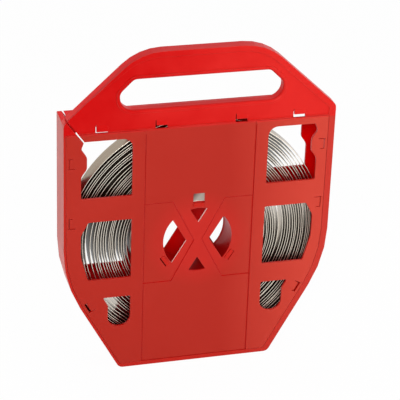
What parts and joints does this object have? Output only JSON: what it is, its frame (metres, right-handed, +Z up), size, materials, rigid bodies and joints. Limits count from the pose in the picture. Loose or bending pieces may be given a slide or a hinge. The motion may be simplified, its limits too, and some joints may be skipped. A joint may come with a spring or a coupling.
{
  "type": "banding dispenser",
  "caption": "Flat plastic carry case with a hand grip, windowed faces and a crossed round hub, holding a loose coil of steel banding that turns inside.",
  "frame": {"origin": "middle of the flat foot that the case stands on", "axes": "+Z up, the let-in cover faces -Y, the mouth for the strap's end is at the upper -X shoulder"},
  "size_m": [0.303, 0.039, 0.3845],
  "materials": {
    "red_plastic": "moulded polypropylene with a fine satin grain",
    "stainless_strap": "dull cold-rolled faces with brighter edges"
  },
  "bodies": {
    "case": {"rear_shell": "red_plastic", "front_cover": "red_plastic"},
    "coil": {"strap_coil": "stainless_strap"}
  },
  "joints": [
    {"name": "coil_spin", "type": "hinge", "parent": "case", "child": "coil", "pos_m": [0, 0, 0.1555], "axis": [0, 1, 0], "continuous": true}
  ]
}
